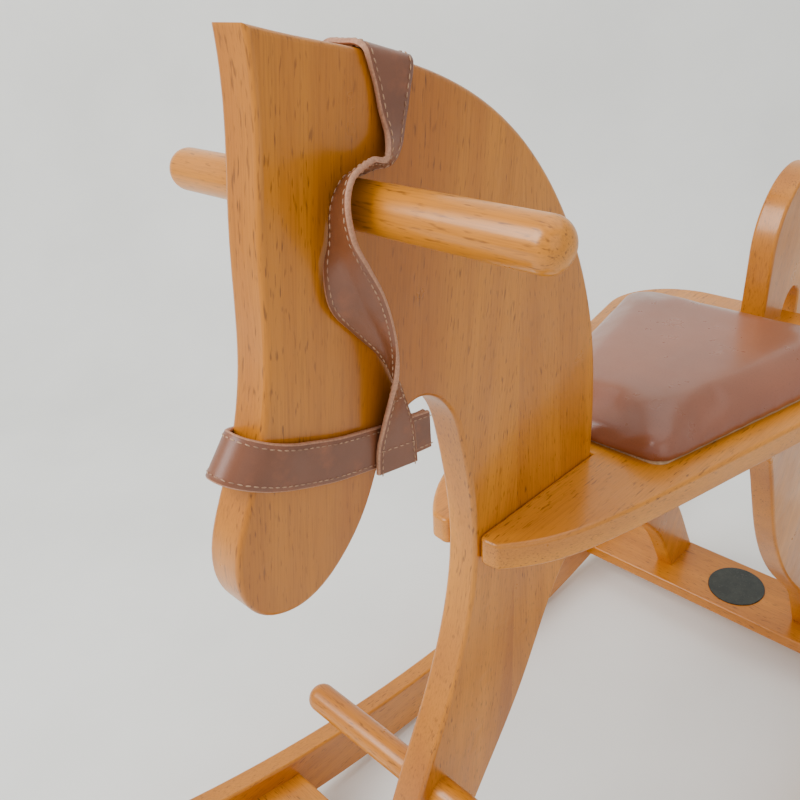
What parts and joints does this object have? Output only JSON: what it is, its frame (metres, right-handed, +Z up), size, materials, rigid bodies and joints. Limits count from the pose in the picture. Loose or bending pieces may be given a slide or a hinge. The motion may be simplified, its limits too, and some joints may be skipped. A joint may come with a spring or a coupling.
{
  "type": "rocking horse",
  "caption": "Child's wooden rocking horse with a flat horse-head board, round hand and foot bars, padded seat, leather bridle and curved runners.",
  "frame": {"origin": "middle of the bounding box at floor level, under the curved runners' lowest line", "axes": "+X forward towards the horse's nose, +Y to the horse's left, +Z up"},
  "size_m": [0.9134, 0.448, 0.812],
  "materials": {
    "beech": "honey lacquer, satin gloss",
    "dowel_beech": "bare",
    "plywood": "bare",
    "cushion_cover": "glossy leatherette",
    "bridle_leather": "satin, stitched edges",
    "screw_steel": "zinc plated",
    "badge_disc": "matte, blank"
  },
  "bodies": {
    "root": {"head_front_plank": "beech", "head_rear_plank": "beech", "hand_bar": "beech", "foot_bar": "beech", "seat_board": "beech", "tail_board": "beech", "hind_leg_left": "beech", "hind_leg_right": "beech", "front_cross_plank": "beech", "rear_cross_plank": "beech", "runner_left": "beech", "runner_right": "beech", "cushion_base": "plywood", "cushion_pad": "cushion_cover", "cushion_screws": "screw_steel", "badge": "badge_disc", "cheek_strap": "bridle_leather", "noseband": "bridle_leather", "plank_dowels": "dowel_beech", "front_leg_dowels": "dowel_beech", "hind_foot_dowels": "dowel_beech", "hind_top_dowels": "dowel_beech", "tail_dowels": "dowel_beech", "prong_dowels": "dowel_beech", "seam_dowels": "dowel_beech"}
  },
  "joints": []
}
